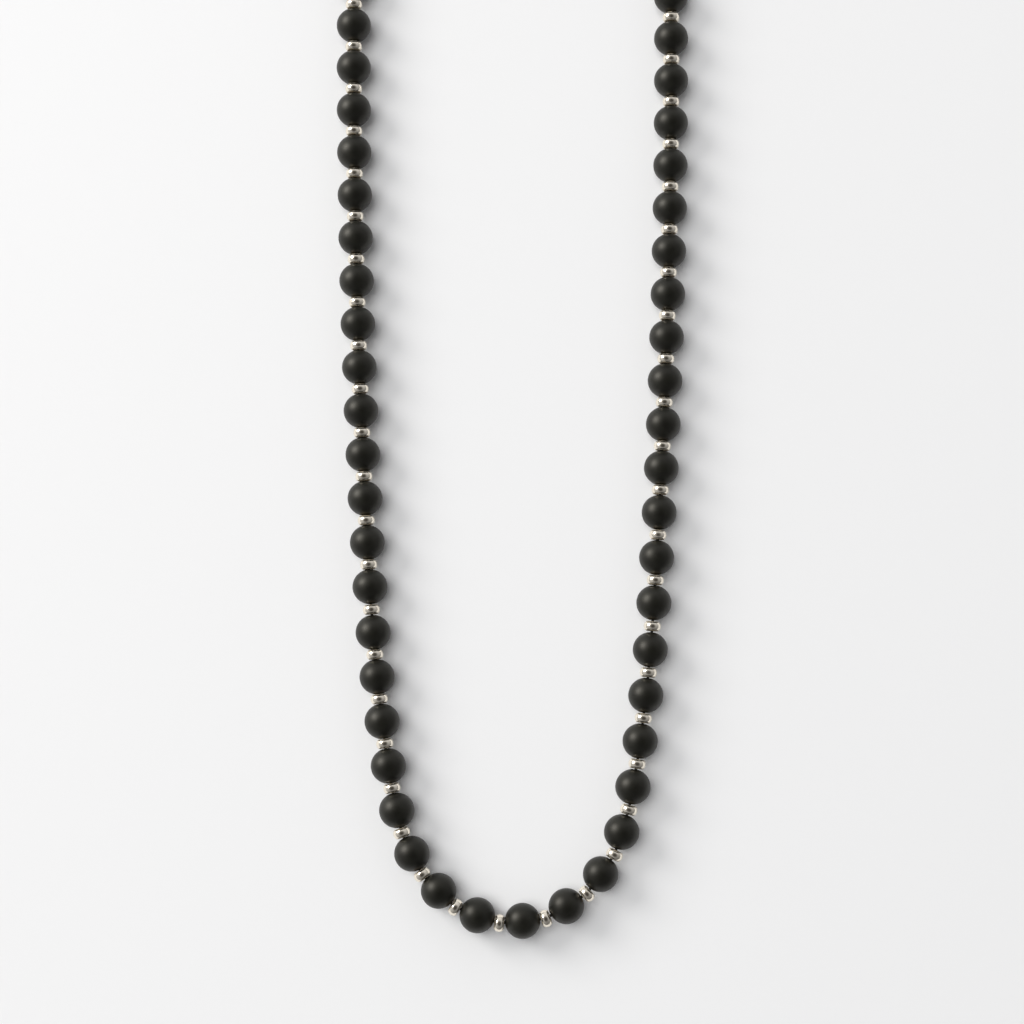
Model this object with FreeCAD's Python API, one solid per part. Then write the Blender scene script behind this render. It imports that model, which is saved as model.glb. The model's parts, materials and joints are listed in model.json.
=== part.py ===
import FreeCAD, Part
import math
import os
from FreeCAD import Placement, Rotation, Vector

# A string of 108 round stone beads with a silver rondelle between each two, closed into a long
# loop that lies on a table, and finished with a larger guru bead, its rondelle and a knot.
# Millimetres and degrees. +Z is up, the loop is long in Y, and its lowest curve is at -Y.

# Beads and rondelles
bead_diameter = 10.0
bead_hole = 1.3
bead_mouth = 1.9
bead_count = 108
rondelle_diameter = 4.9
rondelle_width = 2.7
rondelle_hole = 1.5
rondelle_mouth = 2.0
clearance = 0.06               # least distance between a bead and a rondelle

# The loop's line: arcs of (radius, turn) from its lowest point up each side, then a straight run.
# Its upper half is the lower half turned by 180 degrees.
side_arcs = [(30.2, 49.0), (42.6, 28.5), (287.0, 4.5), (554.0, 4.0), (2575.0, 4.0)]
first_rondelle = -3.7          # along the loop, from its lowest point to the rondelle numbered 0

# The cord's slack, as (beads, play of each): from the rondelle numbered 0 up the right side
slack = [(1, 0.0), (10, 0.34), (35, 0.06), (8, 0.0)]

# The loop sways at four rondelles: this many links each side of the rondelle numbered 0, and
# their images in the upper half.
pivot_links = 8
pivot_sway = 10.0              # each way
pivot_gap = 0.1                # the cord's ends stand off each pivot by this much
own_node_beads = 46            # lower beads that have a node each, half on each side

# Cord
cord_diameter = 0.8
cord_bend_reach = 1.8          # a bend starts this far from the rondelle's centre

# Guru bead, its rondelle and the knot, all along one line out of the loop's upper end
guru_diameter = 12.0
guru_hole = 2.2
guru_mouth = 3.0
guru_offset = 7.7              # from the loop's line to the guru bead's centre
guru_cord_depth = 1.8          # how far into the guru bead its cords have levelled out
guru_bend_reach = 1.35
guru_rondelle_diameter = 5.4
guru_rondelle_width = 2.4
guru_rondelle_hole = 2.0
guru_rondelle_mouth = 2.5
pair_offset = 0.43             # each of the two cords' centres from the guru bead's axis
seat_gap = 0.08                # between the guru bead, its rondelle and the knot
knot_diameter = 3.4
knot_length = 3.2
knot_edge = 0.9
tail_root = 0.8                # each tail starts this far inside the knot
tail_bend_share = 0.45         # a tail's bend takes this share of the shorter run beside it

# Working out the loop
fixing_steps = 20              # repeats after which a place along the loop no longer changes
first_straight = 50.0          # a first guess of the straight run
straight_turn = 0.01           # less of a turn than this is a straight cord

bead_radius = bead_diameter / 2
cord_radius = cord_diameter / 2
guru_radius = guru_diameter / 2
half_count = bead_count // 2
# Both cut ends: forward from the knot's outer face, sideways from its axis, and height
tail_routes = [
    [(0.0, 0.45, guru_radius), (1.6, 0.7, guru_radius - 0.1), (3.0, 1.4, 5.5), (4.2, 2.4, 4.8)],
    [(0.0, -0.45, guru_radius), (1.5, -0.6, guru_radius - 0.1), (2.7, -1.0, 5.4), (3.7, -1.7, 4.6)],
]


# ---- the loop's line ----

def quarter_point(s, straight):
    """The place and direction at s along the loop's lower right quarter, from its lowest point."""
    x, y, direction = 0.0, 0.0, 0.0
    for radius, turn in side_arcs:
        length = radius * math.radians(turn)
        step = min(s, length) / radius
        x += radius * (math.sin(direction + step) - math.sin(direction))
        y += radius * (math.cos(direction) - math.cos(direction + step))
        direction += step
        s -= length
        if s <= 0:
            return x, y, direction
    return x, y + min(s, straight), direction


def quarter_length(straight):
    return sum(radius * math.radians(turn) for radius, turn in side_arcs) + straight


def loop_point(s, straight):
    """The place and direction at s along the loop's right half; s below 0 is on its left."""
    quarter = quarter_length(straight)
    if s < 0:
        x, y, direction = quarter_point(-s, straight)
        return -x, y, -direction
    if s <= quarter:
        return quarter_point(s, straight)
    top = 2 * quarter_point(quarter, straight)[1]
    x, y, direction = quarter_point(2 * quarter - s, straight)
    return x, top - y, math.pi - direction


def seat(half_turn):
    """From a rondelle's centre to the centre of a bead that just clears it on the inner side of
    a turn. The rondelle's rounded edge is a circle, half its width in radius."""
    edge = rondelle_width / 2
    out = rondelle_diameter / 2 - edge
    reach = bead_radius + edge + clearance
    return out * math.sin(half_turn) + math.sqrt(reach ** 2 - (out * math.cos(half_turn)) ** 2)


def seat_at(number, s, straight):
    """The seat beside the rondelle with this number at s. A pivot's rondelle stays with one of
    its beads, so the other bead takes the whole sway."""
    before = loop_point(s - bead_diameter / 2, straight)[2]
    after = loop_point(s + bead_diameter / 2, straight)[2]
    turn = (after - before) * (1 + rondelle_width / bead_diameter)
    if number in (pivot_links, half_count - pivot_links):
        turn += 2 * math.radians(pivot_sway)
    return seat(turn / 2)


def walk(straight):
    """Half the rondelles as (s, seat), each as far from the last as the bead between them needs."""
    places = [(first_rondelle, seat_at(0, first_rondelle, straight))]
    for beads, play in slack:
        for _ in range(beads):
            s, near_seat = places[-1]
            x, y, _ = loop_point(s, straight)
            number = len(places)
            s += bead_diameter + rondelle_width
            for _ in range(fixing_steps):
                far_seat = seat_at(number, s, straight)
                u, v, _ = loop_point(s, straight)
                s += near_seat + far_seat + play - math.hypot(u - x, v - y)
            places.append((s, far_seat))
    return places


def closing_straight():
    """The straight run with which half the beads end exactly opposite to where they began."""
    straight = first_straight
    for _ in range(fixing_steps):
        end = walk(straight)[-1][0]
        straight += (end - first_rondelle - 2 * quarter_length(straight)) / 2
    return straight


def rondelle_places():
    """All the rondelles' centres about the loop's middle, numbered anticlockwise from below,
    and how far the bead before each is from it and the bead after it."""
    straight = closing_straight()
    middle = loop_point(quarter_length(straight), straight)[1]
    half = [(loop_point(s, straight), seat) for s, seat in walk(straight)[:-1]]
    lower = [(x, y - middle) for (x, y, direction), seat in half]
    seats = [seat for point, seat in half]
    return lower + [(-x, -y) for x, y in lower], seats + seats


places, seats = rondelle_places()
guru_number = half_count       # no rondelle here: both cord ends leave the loop for the guru bead


def heading(k):
    """The direction of link k, which is also the axis of its bead."""
    (x, y), (u, v) = places[k % bead_count], places[(k + 1) % bead_count]
    return math.degrees(math.atan2(v - y, u - x))


def turn_at(k):
    return (heading(k) - heading(k - 1) + 180) % 360 - 180


def bisector(k):
    """The direction of the rondelle numbered k, halfway between its two links."""
    return heading(k - 1) + turn_at(k) / 2


guru_direction = bisector(guru_number) - 90
guru_line = Vector(math.cos(math.radians(guru_direction)), math.sin(math.radians(guru_direction)), 0)
guru_side = Vector(-guru_line.y, guru_line.x, 0)
guru_rim = math.sqrt(guru_radius ** 2 - (guru_mouth / 2) ** 2)
guru_rondelle_at = guru_offset + guru_rim + seat_gap + guru_rondelle_width / 2
knot_at = guru_rondelle_at + guru_rondelle_width / 2 + seat_gap


def from_guru_corner(forward, sideways, height):
    """A place by its distance out along the guru bead's line and to the left of it."""
    x, y = places[guru_number]
    return Vector(x, y, height) + guru_line * forward + guru_side * sideways


# The origin is midway between the ends of the whole object, on the table.
low_end = min(y for x, y in places) - bead_radius
high_end = max(from_guru_corner(knot_at + knot_length + f, s, h).y
               for route in tail_routes for f, s, h in route) + cord_radius
shift = Vector(0, -(low_end + high_end) / 2, 0)


def rondelle_centre(k):
    x, y = places[k % bead_count]
    return Vector(x, y, bead_radius) + shift


def bead_centre(k):
    """Between rondelles k and k + 1, nearer the one beside which the strand turns less."""
    before, after = seats[k % bead_count], seats[(k + 1) % bead_count]
    return rondelle_centre(k) + (rondelle_centre(k + 1) - rondelle_centre(k)) * (before / (before + after))


# ---- solids about their own axis, which is X until they are placed ----

def spun(edges):
    face = Part.Face(Part.Wire(edges))
    return face.revolve(Vector(0, 0, 0), Vector(1, 0, 0), 360)


def line(x, y, u, v):
    return Part.LineSegment(Vector(x, y, 0), Vector(u, v, 0)).toShape()


def round_bead(diameter, hole, mouth):
    """A ball with a hole through it and a small cone at each mouth."""
    radius = diameter / 2
    rim = math.sqrt(radius ** 2 - (mouth / 2) ** 2)
    wall = rim - (mouth - hole) / 2
    ball = Part.Arc(Vector(rim, mouth / 2, 0), Vector(0, radius, 0), Vector(-rim, mouth / 2, 0))
    return spun([line(-wall, hole / 2, wall, hole / 2), line(wall, hole / 2, rim, mouth / 2),
                 ball.toShape(), line(-rim, mouth / 2, -wall, hole / 2)])


def rondelle(diameter, width, hole, mouth):
    """A thick washer with a fully rounded outer edge."""
    half = width / 2
    wall = half - (mouth - hole) / 2
    flat = diameter / 2 - half
    edge = Part.Arc(Vector(half, flat, 0), Vector(0, diameter / 2, 0), Vector(-half, flat, 0))
    return spun([line(-wall, hole / 2, wall, hole / 2), line(wall, hole / 2, half, mouth / 2),
                 line(half, mouth / 2, half, flat), edge.toShape(),
                 line(-half, flat, -half, mouth / 2), line(-half, mouth / 2, -wall, hole / 2)])


def placed(shape, centre, direction):
    copy = shape.copy()
    copy.Placement = Placement(centre, Rotation(Vector(0, 0, 1), direction))
    return copy


# ---- cord ----

def tube(points, reaches):
    """A round cord along straight runs, with an arc at each inner point that starts and ends
    that point's reach away from it. Prints its smallest radius and how its volume compares."""
    edges, start, tightest = [], points[0], None
    for before, here, after, reach in zip(points, points[1:], points[2:], reaches):
        into = (here - before).normalize()
        out = (after - here).normalize()
        half_turn = into.getAngle(out) / 2
        bend_start, bend_end = here - into * reach, here + out * reach
        radius = reach / math.tan(half_turn)
        inward = (out - into).normalize()
        middle = here + inward * (radius / math.cos(half_turn) - radius)
        edges.append(Part.LineSegment(start, bend_start).toShape())
        edges.append(Part.Arc(bend_start, middle, bend_end).toShape())
        start = bend_end
        tightest = radius if tightest is None else min(tightest, radius)
    edges.append(Part.LineSegment(start, points[-1]).toShape())
    path = Part.Wire(edges)
    section = Part.Circle(points[0], points[1] - points[0], cord_radius).toShape()
    solid = path.makePipeShell([Part.Wire(section)], True, False)
    ratio = solid.Volume / (math.pi * cord_radius ** 2 * path.Length)
    print(f"cord of {path.Length:.1f} mm, tightest bend {tightest:.2f} mm, volume ratio {ratio:.4f}")
    return solid


def corner_points(first, last):
    """The loop's rondelle centres from first to last, without those where it runs straight."""
    return [rondelle_centre(k) for k in range(first + 1, last) if abs(turn_at(k)) > straight_turn]


def end_point(k, towards):
    """Just off the pivot numbered k, on the cord's own side of it."""
    return rondelle_centre(k) + (rondelle_centre(towards) - rondelle_centre(k)).normalize() * pivot_gap


def run_of_cord(first, last):
    inner = corner_points(first, last)
    points = [end_point(first, first + 1)] + inner + [end_point(last, last - 1)]
    return tube(points, [cord_bend_reach] * len(inner))


def cord_into_guru(pivot, side):
    """The upper cord from one pivot to the knot: round the loop, then out through the guru bead."""
    first, last = min(pivot, guru_number), max(pivot, guru_number)
    inner = corner_points(first, last)
    if side > 0:
        inner = inner[::-1]
        neighbour = pivot - 1
    else:
        neighbour = pivot + 1
    # the cord turns where its own link's line meets its own side of the guru bead's hole
    slope = math.tan(math.radians(abs(turn_at(guru_number)) / 2))
    corner = from_guru_corner(-pair_offset * slope, side * pair_offset, bead_radius) + shift
    level = from_guru_corner(guru_offset - guru_radius + guru_cord_depth, side * pair_offset,
                             guru_radius) + shift
    end = from_guru_corner(knot_at, side * pair_offset, guru_radius) + shift
    points = [end_point(pivot, neighbour)] + inner + [corner, level, end]
    reaches = [cord_bend_reach] * len(inner) + [guru_bend_reach] * 2
    return tube(points, reaches)


# ---- sub-parts ----

def bead_group(first, last):
    bead = round_bead(bead_diameter, bead_hole, bead_mouth)
    return Part.Compound([placed(bead, bead_centre(k), heading(k)) for k in range(first, last)])


def rondelle_group(first, last):
    piece = rondelle(rondelle_diameter, rondelle_width, rondelle_hole, rondelle_mouth)
    return Part.Compound([placed(piece, rondelle_centre(k), bisector(k))
                          for k in range(first, last) if k != guru_number])


def upper_cord():
    right = cord_into_guru(half_count - pivot_links, -1)
    left = cord_into_guru(half_count + pivot_links, 1)
    return Part.Compound([right, left])


def guru_bead():
    centre = from_guru_corner(guru_offset, 0, guru_radius) + shift
    return placed(round_bead(guru_diameter, guru_hole, guru_mouth), centre, guru_direction)


def guru_rondelle():
    piece = rondelle(guru_rondelle_diameter, guru_rondelle_width, guru_rondelle_hole,
                     guru_rondelle_mouth)
    return placed(piece, from_guru_corner(guru_rondelle_at, 0, guru_radius) + shift, guru_direction)


def closing_knot():
    """A barrel knot with both cord ends cut off a little beyond it."""
    radius = knot_diameter / 2
    inner = radius - knot_edge
    corner = knot_edge * (1 - math.sqrt(0.5))
    near = Part.Arc(Vector(0, inner, 0), Vector(corner, radius - corner, 0),
                    Vector(knot_edge, radius, 0))
    far = Part.Arc(Vector(knot_length - knot_edge, radius, 0),
                   Vector(knot_length - corner, radius - corner, 0), Vector(knot_length, inner, 0))
    barrel = spun([line(0, 0, 0, inner), near.toShape(),
                   line(knot_edge, radius, knot_length - knot_edge, radius), far.toShape(),
                   line(knot_length, inner, knot_length, 0), line(knot_length, 0, 0, 0)])
    barrel = placed(barrel, from_guru_corner(knot_at, 0, guru_radius) + shift, guru_direction)
    tails = []
    for route in tail_routes:
        points = [from_guru_corner(knot_at + knot_length + f, s, h) + shift for f, s, h in route]
        points[0] -= guru_line * tail_root
        runs = [(b - a).Length for a, b in zip(points, points[1:])]
        tails.append(tube(points, [tail_bend_share * min(a, b) for a, b in zip(runs, runs[1:])]))
    return barrel.fuse(tails)


def sub_parts():
    lower, upper = pivot_links, half_count - pivot_links
    half_own = own_node_beads // 2
    parts = {}
    for number in range(own_node_beads):
        k = number - half_own
        parts[f"bead_{number + 1:02d}"] = bead_group(k, k + 1)
    parts["beads_right_upper"] = bead_group(half_own, upper)
    parts["beads_upper_curve"] = bead_group(upper, half_count + lower)
    parts["beads_left_upper"] = bead_group(half_count + lower, bead_count - half_own)
    parts["rondelles_lower_curve"] = rondelle_group(-lower, lower + 1)
    parts["rondelles_right"] = rondelle_group(lower + 1, upper)
    parts["rondelles_upper_curve"] = rondelle_group(upper, half_count + lower + 1)
    parts["rondelles_left"] = rondelle_group(half_count + lower + 1, bead_count - lower)
    parts["cord_lower_curve"] = run_of_cord(-lower, lower)
    parts["cord_right"] = run_of_cord(lower, upper)
    parts["cord_upper_curve"] = upper_cord()
    parts["cord_left"] = run_of_cord(half_count + lower, bead_count - lower)
    parts["guru_bead"] = guru_bead()
    parts["guru_rondelle"] = guru_rondelle()
    parts["closing_knot"] = closing_knot()
    return parts


os.makedirs("parts", exist_ok=True)
for name, shape in sub_parts().items():
    if not shape.isValid():
        print(f"{name} isn't valid")
    shape.exportStep(f"parts/{name}.step")
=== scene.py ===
import json
import math
import bpy
import numpy as np
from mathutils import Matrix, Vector


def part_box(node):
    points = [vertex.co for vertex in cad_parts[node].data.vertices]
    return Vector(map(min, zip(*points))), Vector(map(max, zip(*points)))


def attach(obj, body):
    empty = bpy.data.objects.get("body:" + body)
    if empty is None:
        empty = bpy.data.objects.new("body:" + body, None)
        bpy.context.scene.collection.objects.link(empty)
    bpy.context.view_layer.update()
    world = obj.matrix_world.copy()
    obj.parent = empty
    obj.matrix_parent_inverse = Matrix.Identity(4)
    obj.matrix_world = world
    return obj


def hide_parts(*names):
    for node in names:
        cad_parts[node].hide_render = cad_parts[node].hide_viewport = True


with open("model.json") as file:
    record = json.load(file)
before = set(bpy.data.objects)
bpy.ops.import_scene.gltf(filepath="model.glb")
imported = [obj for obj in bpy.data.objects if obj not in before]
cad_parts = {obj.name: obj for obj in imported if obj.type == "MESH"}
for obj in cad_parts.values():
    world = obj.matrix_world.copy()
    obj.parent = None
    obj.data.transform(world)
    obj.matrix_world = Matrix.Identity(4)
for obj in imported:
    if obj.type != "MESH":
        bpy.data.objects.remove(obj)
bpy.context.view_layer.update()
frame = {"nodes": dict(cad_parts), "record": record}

mm = 0.001
print("frame loaded:", len(frame["nodes"]), "nodes")


# ---------- where things are, read from the frame ----------

def middleOf(node):
    low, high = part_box(node)
    return np.array((low + high) / 2)


def solidMiddles(node):
    # the middle of each separate solid in a node: corners that share a place get one number,
    # then every triangle passes its lowest number on until nothing changes
    mesh = frame["nodes"][node].data
    spots = np.empty(len(mesh.vertices) * 3, np.float32)
    mesh.vertices.foreach_get("co", spots)
    spots = spots.reshape(-1, 3)
    corners = np.empty(len(mesh.loops), np.int64)
    mesh.loops.foreach_get("vertex_index", corners)
    shared = np.unique(np.round(spots / (0.001 * mm)), axis=0, return_inverse=True)[1].ravel()
    triangles = shared[corners].reshape(-1, 3)
    label = np.arange(shared.max() + 1)
    while True:
        lowest = label[triangles].min(axis=1)
        before = label.copy()
        np.minimum.at(label, triangles.ravel(), np.repeat(lowest, 3))
        if (label == before).all():
            break
    label = label[shared]
    return np.array([(spots[label == n].min(axis=0) + spots[label == n].max(axis=0)) / 2
                     for n in np.unique(label)], float)


def unit(vector):
    return vector / np.linalg.norm(vector)


singleBeads = sorted(n for n in frame["nodes"] if n.startswith("bead_"))
beadGroups = sorted(n for n in frame["nodes"] if n.startswith("beads_"))
rondelleGroups = sorted(n for n in frame["nodes"] if n.startswith("rondelles_"))
cordNodes = sorted(n for n in frame["nodes"] if n.startswith("cord_"))
bodyOf = {node: body for body, members in frame["record"]["behaviour"]["bodies"].items()
          for node in members}
beadMiddles = {node: np.array([middleOf(node)]) for node in singleBeads}
beadMiddles.update({node: solidMiddles(node) for node in beadGroups})
rondelleMiddles = {node: solidMiddles(node) for node in rondelleGroups}
everyBead = np.vstack(list(beadMiddles.values()))
everyRondelle = np.vstack(list(rondelleMiddles.values()))
guruMiddle, guruRondelleMiddle = middleOf("guru_bead"), middleOf("guru_rondelle")
guruLine = unit(guruRondelleMiddle - guruMiddle)
guruSide = np.cross([0, 0, 1], guruLine)
print("beads:", len(everyBead), "rondelles:", len(everyRondelle) + 1)


def beadAxis(middle):
    # a bead's hole points at the rondelle beside it
    nearest = everyRondelle[np.argmin(np.linalg.norm(everyRondelle - middle, axis=1))]
    return unit(middle - nearest)


def rondelleAxis(middle):
    # a rondelle lies across the line between the two beads beside it
    first, second = everyBead[np.argsort(np.linalg.norm(everyBead - middle, axis=1))[:2]]
    return unit(second - first)


# ---------- camera ----------

view = {"lowestBead": "bead_24", "right": -2.95, "up": 115.3, "distance": 600.0, "tilt": 6.0,
        "focal": 73.7, "sensor": 36.0}


def makeCamera():
    aim = middleOf(view["lowestBead"]) + np.array([view["right"], view["up"], 0]) * mm
    lean = math.radians(view["tilt"])
    back = np.array([0, -math.sin(lean), math.cos(lean)]) * view["distance"] * mm
    data = bpy.data.cameras.new("camera")
    data.lens, data.sensor_width = view["focal"], view["sensor"]
    data.clip_start, data.clip_end = 0.01, 20
    camera = bpy.data.objects.new("camera", data)
    camera.location = aim + back
    camera.rotation_euler = (lean, 0, 0)
    bpy.context.scene.collection.objects.link(camera)
    bpy.context.scene.camera = camera


makeCamera()


# ---------- shader maths ----------

class Value:
    # a socket of a material, with arithmetic that adds Math nodes

    def __init__(self, finish, socket):
        self.finish, self.socket = finish, socket

    def combine(self, operation, first, second):
        return self.finish.node("ShaderNodeMath", {"operation": operation}, {0: first, 1: second})

    def __add__(self, other):
        return self.combine("ADD", self, other)

    def __sub__(self, other):
        return self.combine("SUBTRACT", self, other)

    def __rsub__(self, other):
        return self.combine("SUBTRACT", other, self)

    def __mul__(self, other):
        return self.combine("MULTIPLY", self, other)

    __radd__, __rmul__ = __add__, __mul__


class Finish:
    # a material with one Principled shader

    def __init__(self, name):
        self.material = bpy.data.materials.new(name)
        self.material.use_nodes = True
        self.tree = self.material.node_tree
        self.shader = self.tree.nodes["Principled BSDF"]

    def node(self, kind, settings=None, inputs=None, output=0):
        made = self.tree.nodes.new(kind)
        for name, value in (settings or {}).items():
            setattr(made, name, value)
        for name, value in (inputs or {}).items():
            self.feed(made.inputs[name], value)
        return Value(self, made.outputs[output])

    def feed(self, socket, value):
        if isinstance(value, Value):
            self.tree.links.new(value.socket, socket)
        else:
            socket.default_value = value

    def set(self, **sockets):
        for name, value in sockets.items():
            self.feed(self.shader.inputs[name.replace("_", " ")], value)

    def noise(self, size, detail=2.0, roughness=0.5):
        # size is how many metres one lump of the noise takes
        place = self.node("ShaderNodeTexCoord", output="Object")
        return self.node("ShaderNodeTexNoise", inputs={
            "Vector": place, "Scale": 1 / size, "Detail": detail, "Roughness": roughness})

    def band(self, value, low, high):
        # 0 below low, 1 above high, smooth between
        return self.node("ShaderNodeMapRange", {"interpolation_type": "SMOOTHSTEP"}, {
            "Value": value, "From Min": low, "From Max": high})

    def mix(self, amount, first, second):
        return self.node("ShaderNodeMix", {"data_type": "RGBA"}, {
            "Factor": amount, "A": first, "B": second}, "Result")

    def bump(self, height, depth):
        return self.node("ShaderNodeBump", inputs={
            "Height": height, "Distance": depth, "Strength": 1})


# ---------- surfaces ----------

def gridFaces(rows, columns, closedRows=True):
    # four-cornered faces of a grid of points that is joined round its columns, and its rows if closed
    row, column = np.meshgrid(np.arange(rows if closedRows else rows - 1), np.arange(columns),
                              indexing="ij")
    nextRow, nextColumn = (row + 1) % rows, (column + 1) % columns
    return np.stack([row * columns + column, nextRow * columns + column,
                     nextRow * columns + nextColumn, row * columns + nextColumn], -1).reshape(-1, 4)


def makePiece(name, shells, finish, body, slot, *standsFor):
    # shells are (points, faces, ends): ends is 1 at a hole or a cut end and 0 away from it
    mesh = bpy.data.meshes.new(name)
    starts = np.cumsum([0] + [len(points) for points, faces, ends in shells])
    corners = [[start + corner for corner in face]
               for start, (points, faces, ends) in zip(starts.tolist(), shells)
               for face in faces]
    mesh.from_pydata(np.vstack([points for points, faces, ends in shells]), [], corners)
    field = mesh.attributes.new("ends", "FLOAT", "POINT")
    field.data.foreach_set("value", np.concatenate([ends for points, faces, ends in shells])
                           .astype(np.float32))
    mesh.shade_smooth()
    mesh.materials.append(finish.material)
    piece = bpy.data.objects.new(name, mesh)
    bpy.context.scene.collection.objects.link(piece)
    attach(piece, body)
    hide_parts(*standsFor)
    return piece


def turned(outline, middle, axis, around):
    # a closed outline of (along, out) turned once about an axis: middle + axis * along
    # + out * (sideways * cos(angle) + upwards * sin(angle)), over the grid of outline and angle
    along, out = outline.T
    angle = np.linspace(0, 2 * math.pi, around, endpoint=False)
    upwards = np.array([0.0, 0.0, 1.0])
    sideways = np.cross(upwards, axis)
    ring = np.cos(angle)[:, None] * sideways + np.sin(angle)[:, None] * upwards
    points = middle + along[:, None, None] * axis + out[:, None, None] * ring
    ends = np.repeat(1 - (out - out.min()) / (out.max() - out.min()), around)
    return points.reshape(-1, 3), gridFaces(len(along), around).tolist(), ends


def arc(centre, radius, start, end, steps):
    # points of a circle about (along, out) from one angle to another, angles from the axis
    angle = np.radians(np.linspace(start, end, steps))
    return np.stack([centre[0] + radius * np.cos(angle), centre[1] + radius * np.sin(angle)], 1)


def ballOutline(diameter, hole, lip, steps):
    # a ball with a straight hole, and a rounded lip that meets both: the lip's circle touches
    # the ball from inside and the hole's wall from outside
    radius, out = diameter / 2, hole / 2 + lip
    along = math.sqrt((radius - lip) ** 2 - out ** 2)
    rim = math.degrees(math.atan2(out, along))
    right = arc((along, out), lip, -90, rim, 5)
    ball = arc((0, 0), radius, rim, 180 - rim, steps)[1:-1]
    left = arc((-along, out), lip, 180 - rim, 270, 5)
    wall = np.array([(-along / 3, hole / 2), (along / 3, hole / 2)])
    return np.vstack([right, ball, left, wall]) * mm


def rondelleOutline(diameter, width, hole, lip, dish, crown, steps):
    # a thick ring: its outer edge is half an ellipse (half * cos(angle), crown * sin(angle)), its
    # faces are dished a little, and its hole has rounded lips
    half, angle = width / 2, np.radians(np.linspace(0, 180, steps))
    edge = np.stack([half * np.cos(angle), diameter / 2 - crown + crown * np.sin(angle)], 1)
    right = arc((half - dish - lip, hole / 2 + lip), lip, -90, 0, 4)
    left = arc((lip + dish - half, hole / 2 + lip), lip, 180, 270, 4)
    return np.vstack([right, edge, left]) * mm


# ---------- finishes ----------

stone = {"deep": (0.0015, 0.0017, 0.0007, 1), "worn": (0.0040, 0.0042, 0.0024, 1), "cloud": 3.2,
         "gloss": (1.0, 0.96, 0.86, 1), "shine": 0.54, "grain": 0.09, "rough": 0.46,
         "roughSpread": 0.09, "grainDepth": 0.004, "wave": 1.7, "waveDepth": 0.02,
         "cloudRange": (0.38, 0.68), "lipRange": (0.72, 0.9), "lipSmoother": 0.06}


def makeStone():
    # matt black stone: slow cloudy tone, a fine sanded grain, and a smoother worn lip at each hole
    finish = Finish("matt_stone")
    cloud = finish.noise(stone["cloud"] * mm, 3)
    grain = finish.noise(stone["grain"] * mm, 2, 0.6)
    wave = finish.noise(stone["wave"] * mm, 1)
    ends = finish.node("ShaderNodeAttribute", {"attribute_name": "ends"}, output="Fac")
    lip = finish.band(ends, *stone["lipRange"])
    finish.set(Base_Color=finish.mix(finish.band(cloud, *stone["cloudRange"]) * (1 - lip),
                                     stone["deep"], stone["worn"]),
               Specular_Tint=stone["gloss"], Specular_IOR_Level=stone["shine"],
               Roughness=stone["rough"] + (grain - 0.5) * stone["roughSpread"]
               - lip * stone["lipSmoother"],
               Normal=finish.bump(grain * stone["grainDepth"] + wave * stone["waveDepth"], mm))
    return finish


# the brown tarnish colour is partly tarnish and partly painted shade: it fills the gaps beside the beads
silver = {"bright": (0.97, 0.90, 0.77, 1), "tarnishShade": (0.40, 0.31, 0.18, 1), "smudge": 0.9,
          "tarnishShadeDulling": 0.85, "rough": 0.15, "scratch": 0.12, "scratchDepth": 0.0016,
          "smudgeRange": (0.35, 0.75), "smudgeRougher": 0.08, "tarnishShadeRange": (0.14, 0.5),
          "tarnishShadeRagged": 0.6, "tarnishShadeRougher": 0.3}


def makeSilver():
    # polished silver, warm, with fine scratches, and dull brown tarnish beside the beads that is also
    # painted shade for the brownish gaps between rondelle and bead
    finish = Finish("polished_silver")
    smudge = finish.noise(silver["smudge"] * mm, 3)
    scratch = finish.noise(silver["scratch"] * mm, 3, 0.65)
    ends = finish.node("ShaderNodeAttribute", {"attribute_name": "ends"}, output="Fac")
    # tarnish mask near the hole, on the faces that meet the beads: its dull brown is partly tarnish and
    # partly painted shade in the gap
    tarnishShade = finish.band(ends + (smudge - 0.5) * silver["tarnishShadeRagged"], *silver["tarnishShadeRange"])
    finish.set(Metallic=1 - tarnishShade * silver["tarnishShadeDulling"],
               Base_Color=finish.mix(tarnishShade, silver["bright"], silver["tarnishShade"]),
               Roughness=silver["rough"] + tarnishShade * silver["tarnishShadeRougher"]
               + finish.band(smudge, *silver["smudgeRange"]) * silver["smudgeRougher"],
               Normal=finish.bump(scratch * silver["scratchDepth"], mm))
    return finish


cord = {"dark": (0.010, 0.009, 0.008, 1), "light": (0.034, 0.031, 0.028, 1), "fibre": 0.10,
        "fibreDepth": 0.03, "rough": 0.62, "fibreRange": (0.3, 0.7), "roughSpread": 0.2,
        "sealSmoother": 0.3}


def makeCord():
    # black waxed cord: fine fibres, shinier where an end is melted
    finish = Finish("waxed_cord")
    fibre = finish.noise(cord["fibre"] * mm, 3, 0.6)
    ends = finish.node("ShaderNodeAttribute", {"attribute_name": "ends"}, output="Fac")
    finish.set(Base_Color=finish.mix(finish.band(fibre, *cord["fibreRange"]), cord["dark"],
                                     cord["light"]),
               Roughness=cord["rough"] + (fibre - 0.5) * cord["roughSpread"]
               - ends * cord["sealSmoother"],
               Normal=finish.bump(fibre * cord["fibreDepth"] * (1 - ends), mm))
    return finish


stoneFinish, silverFinish, cordFinish = makeStone(), makeSilver(), makeCord()


# ---------- beads and rondelles ----------

bead = {"diameter": 10.0, "hole": 1.3, "lip": 0.3, "steps": 27, "around": 48}
rondelle = {"diameter": 4.9, "width": 2.7, "hole": 1.5, "lip": 0.2, "dish": 0.05,
            "crown": 0.95, "steps": 17, "around": 36}

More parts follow.
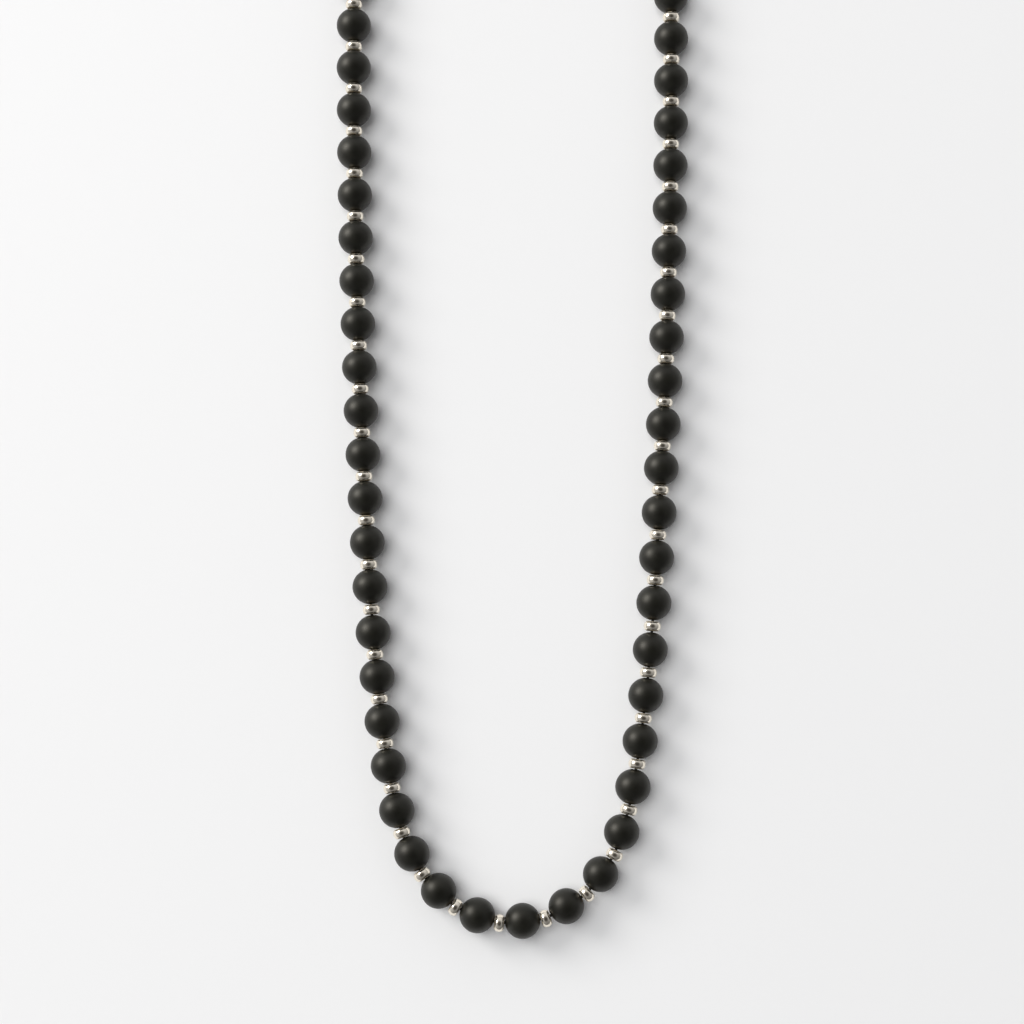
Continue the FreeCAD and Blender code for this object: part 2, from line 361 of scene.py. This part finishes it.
beadShape = ballOutline(bead["diameter"], bead["hole"], bead["lip"], bead["steps"])
rondelleShape = rondelleOutline(rondelle["diameter"], rondelle["width"], rondelle["hole"],
                                rondelle["lip"], rondelle["dish"], rondelle["crown"],
                                rondelle["steps"])
for node, middles in beadMiddles.items():
    makePiece(node + "_stone", [turned(beadShape, middle, beadAxis(middle), bead["around"])
                                for middle in middles], stoneFinish, bodyOf[node], "stone", node)
print("beads made:", len(beadMiddles), "pieces")
for node, middles in rondelleMiddles.items():
    makePiece(node + "_silver", [turned(rondelleShape, middle, rondelleAxis(middle),
                                        rondelle["around"]) for middle in middles],
              silverFinish, bodyOf[node], "silver", node)
print("rondelles made:", len(rondelleMiddles), "pieces")


# ---------- guru bead, its rondelle and the knot ----------

guru = {"diameter": 12.0, "hole": 2.2, "lip": 0.4, "steps": 33, "around": 64,
        "rondelleDiameter": 5.4, "rondelleWidth": 2.4, "rondelleHole": 2.0, "seat": 0.08}
guruBody = bodyOf["guru_bead"]
makePiece("guru_bead_stone", [turned(
    ballOutline(guru["diameter"], guru["hole"], guru["lip"], guru["steps"]),
    guruMiddle, guruLine, guru["around"])], stoneFinish, guruBody, "stone", "guru_bead")
makePiece("guru_rondelle_silver", [turned(
    rondelleOutline(guru["rondelleDiameter"], guru["rondelleWidth"], guru["rondelleHole"],
                    rondelle["lip"], rondelle["dish"], rondelle["crown"], rondelle["steps"]),
    guruRondelleMiddle, guruLine, rondelle["around"])],
    silverFinish, guruBody, "silver", "guru_rondelle")

knot = {"strand": 0.8, "length": 3.2, "wraps": 4, "coil": 1.3, "tuck": 0.14, "plies": 3,
        "plyDepth": 0.14, "twist": 1.9, "around": 24, "step": 0.11, "seal": 1.16, "sealLength": 0.5,
        "tip": 0.02,
        # each core cord: forward from the knot's outer face, sideways, and height above the axis
        "routes": [[(-3.2, 0.43, 0), (-1.4, 0.43, 0), (0, 0.45, 0), (1.6, 0.7, -0.1),
                    (3.0, 1.4, -0.5), (4.2, 2.4, -1.2)],
                   [(-3.2, -0.43, 0), (-1.4, -0.43, 0), (0, -0.45, 0), (1.5, -0.6, -0.1),
                    (2.7, -1.0, -0.6), (3.7, -1.7, -1.4)]]}
knotStart = guruRondelleMiddle + guruLine * (guru["rondelleWidth"] / 2 + guru["seat"]) * mm


def smoothRoute(points):
    # evenly spaced points of the smooth line that a route's points control
    data = bpy.data.curves.new("route", "CURVE")
    data.dimensions, data.resolution_u = "3D", 24
    spline = data.splines.new("NURBS")
    spline.points.add(len(points) - 1)
    spline.points.foreach_set("co", np.hstack([points, np.ones((len(points), 1))]).ravel())
    spline.order_u = 3
    spline.use_endpoint_u = True
    route = bpy.data.objects.new("route", data)
    mesh = bpy.data.meshes.new_from_object(route)
    spots = np.empty(len(mesh.vertices) * 3, np.float32)
    mesh.vertices.foreach_get("co", spots)
    spots = spots.reshape(-1, 3).astype(float)
    bpy.data.objects.remove(route)
    bpy.data.meshes.remove(mesh)
    run = np.concatenate([[0], np.cumsum(np.linalg.norm(np.diff(spots, axis=0), axis=1))])
    even = np.linspace(0, run[-1], round(run[-1] / (knot["step"] * mm)))
    return np.stack([np.interp(even, run, spots[:, axis]) for axis in range(3)], 1)


def strand(path, upright, sealed):
    # a twisted cord along a path: path + radius * (side * cos(angle) + over * sin(angle)), where
    # the radius has a lobe for each ply that turns round with the distance, swells at a melted
    # end, and runs down to nothing over the last bit of both ends as a quarter circle does
    tangent = np.gradient(path, axis=0)
    tangent /= np.linalg.norm(tangent, axis=1, keepdims=True)
    side = np.cross(tangent, upright)
    side /= np.linalg.norm(side, axis=1, keepdims=True)
    over = np.cross(side, tangent)
    run = np.concatenate([[0], np.cumsum(np.linalg.norm(np.diff(path, axis=0), axis=1))]) / mm
    left = run[-1] - run
    melted = np.clip(1 - left / knot["sealLength"], 0, 1) * sealed
    angle = np.linspace(0, 2 * math.pi, knot["around"], endpoint=False)
    turn = angle[None] - knot["twist"] * run[:, None]
    lobes = 1 - knot["plyDepth"] * (1 - np.abs(np.cos(turn * knot["plies"] / 2))) * (1 - melted[:, None])
    cap = knot["strand"] / 4
    close = np.sqrt(1 - (1 - np.clip(np.minimum(run, left) / cap, knot["tip"], 1)) ** 2)
    swell = 1 + (knot["seal"] - 1) * melted
    radius = knot["strand"] / 2 * mm * lobes * (close * swell)[:, None]
    points = (path[:, None] + radius[:, :, None] * (np.cos(angle)[None, :, None] * side[:, None]
              + np.sin(angle)[None, :, None] * over[:, None]))
    rows, columns = radius.shape
    faces = gridFaces(rows, columns, False).tolist()
    faces += [list(range(columns)), list(range(rows * columns - 1, (rows - 1) * columns - 1, -1))]
    return points.reshape(-1, 3), faces, np.repeat(melted, columns)


def knotPlace(forward, sideways, height):
    return knotStart + (guruLine * (forward + knot["length"]) + guruSide * sideways
                        + np.array([0, 0, 1]) * height) * mm


def wrapPath():
    # a helix round the knot's axis whose two ends run in towards the axis, under its last turns
    turns = knot["wraps"] - 1
    share = np.linspace(-knot["tuck"], 1 + knot["tuck"], round(2 * math.pi * knot["coil"] * turns
                                                             / knot["step"]))
    inside = np.clip(share, 0, 1)
    beyond = np.abs(share - inside) / knot["tuck"]
    coil = knot["coil"] - (knot["coil"] - knot["strand"]) * beyond ** 2
    angle = 2 * math.pi * turns * share
    along = knot["strand"] / 2 + (knot["length"] - knot["strand"]) * inside
    out = np.cos(angle)[:, None] * guruSide + np.sin(angle)[:, None] * np.array([0, 0, 1.0])
    return knotStart + (along[:, None] * guruLine + coil[:, None] * out) * mm


wraps = strand(wrapPath(), guruLine, False)
makePiece("knot_wraps", [wraps], cordFinish, guruBody, "cord", "closing_knot")
for number, route in enumerate(knot["routes"]):
    path = smoothRoute(np.array([knotPlace(*point) for point in route]))
    makePiece("knot_end_" + str(number + 1), [strand(path, np.array([0, 0, 1.0]), True)],
              cordFinish, guruBody, "cord", "closing_knot")
for node in cordNodes:
    shape = frame["nodes"][node]
    for slot in shape.material_slots:
        slot.material = cordFinish.material
print("guru bead, knot and cords made")


# ---------- floor and light ----------

room = {"floorSize": 16.0, "floor": (0.80, 0.80, 0.798, 1), "floorGrain": 1.2, "floorRough": 0.75,
        "overhead": (0.13, 0.12, 0.11, 1), "level": (0.95, 0.95, 0.97, 1), "ambient": 0.78,
        "brightSide": 115, "farSide": 0.18, "backdrop": (0.80, 0.80, 0.81, 1),
        "grainDepth": 0.02, "levelHeight": 0.7, "overheadHeight": 0.93}
windowLight = {"kind": "AREA", "azimuth": 150, "elevation": 30, "distance": 2.3, "reflected": True,
               "settings": {"shape": "SQUARE", "size": 1.05, "energy": 35,
                            "color": (1.0, 0.99, 0.975)}}
ceilingLight = {"kind": "SUN", "azimuth": 160, "elevation": 71, "distance": 2.6, "reflected": False,
                "settings": {"angle": math.radians(42), "energy": 1.68,
                             "color": (0.985, 0.99, 1.0)}}


def makeFloor():
    half = room["floorSize"] / 2
    mesh = bpy.data.meshes.new("floor")
    mesh.from_pydata([(-half, -half, 0), (half, -half, 0), (half, half, 0), (-half, half, 0)], [],
                     [(0, 1, 2, 3)])
    finish = Finish("floor")
    grain = finish.noise(room["floorGrain"] * mm, 2)
    finish.set(Base_Color=room["floor"], Roughness=room["floorRough"],
               Normal=finish.bump(grain * room["grainDepth"], mm))
    mesh.materials.append(finish.material)
    floor = bpy.data.objects.new("floor", mesh)
    bpy.context.scene.collection.objects.link(floor)


def makeSky():
    # soft light from all sides, weaker straight above and on the near side, in front of a plain
    # pale backdrop
    world = bpy.data.worlds.new("studio")
    world.use_nodes = True
    bpy.context.scene.world = world
    tree = world.node_tree
    place = tree.nodes.new("ShaderNodeTexCoord")
    split = tree.nodes.new("ShaderNodeSeparateXYZ")
    ramp = tree.nodes.new("ShaderNodeValToRGB")
    ramp.color_ramp.elements[0].color = room["level"]
    ramp.color_ramp.elements[0].position = room["levelHeight"]
    ramp.color_ramp.elements[1].color = room["overhead"]
    ramp.color_ramp.elements[1].position = room["overheadHeight"]
    tree.links.new(place.outputs["Generated"], split.inputs[0])
    tree.links.new(split.outputs["Z"], ramp.inputs[0])
    turn = math.radians(room["brightSide"])
    facing = tree.nodes.new("ShaderNodeVectorMath")
    facing.operation = "DOT_PRODUCT"
    facing.inputs[1].default_value = (math.cos(turn), math.sin(turn), 0)
    tree.links.new(place.outputs["Generated"], facing.inputs[0])
    strength = tree.nodes.new("ShaderNodeMapRange")
    strength.inputs["From Min"].default_value = -1
    strength.inputs["To Min"].default_value = room["ambient"] * room["farSide"]
    strength.inputs["To Max"].default_value = room["ambient"]
    tree.links.new(facing.outputs["Value"], strength.inputs["Value"])
    shader = tree.nodes["Background"]
    tree.links.new(ramp.outputs["Color"], shader.inputs["Color"])
    tree.links.new(strength.outputs["Result"], shader.inputs["Strength"])
    backdrop = tree.nodes.new("ShaderNodeBackground")
    backdrop.inputs["Color"].default_value = room["backdrop"]
    seen = tree.nodes.new("ShaderNodeMixShader")
    tree.links.new(tree.nodes.new("ShaderNodeLightPath").outputs["Is Camera Ray"], seen.inputs[0])
    tree.links.new(shader.outputs[0], seen.inputs[1])
    tree.links.new(backdrop.outputs[0], seen.inputs[2])
    tree.links.new(seen.outputs[0], tree.nodes["World Output"].inputs["Surface"])


def makeLamp(name, light):
    # a soft light that faces the middle of the view from an azimuth and an elevation
    aim = middleOf(view["lowestBead"]) + np.array([0, view["up"], 0]) * mm
    turn, rise = math.radians(light["azimuth"]), math.radians(light["elevation"])
    away = np.array([math.cos(rise) * math.cos(turn), math.cos(rise) * math.sin(turn),
                     math.sin(rise)])
    data = bpy.data.lights.new(name, light["kind"])
    for setting, value in light["settings"].items():
        setattr(data, setting, value)
    lamp = bpy.data.objects.new(name, data)
    lamp.visible_glossy = light["reflected"]
    lamp.location = aim + away * light["distance"]
    lamp.rotation_euler = Vector(away).to_track_quat("Z", "Y").to_euler()
    bpy.context.scene.collection.objects.link(lamp)


makeFloor()
makeSky()
makeLamp("window", windowLight)
makeLamp("ceiling", ceilingLight)
bpy.context.scene.view_settings.view_transform = "Standard"
print("floor and light made")
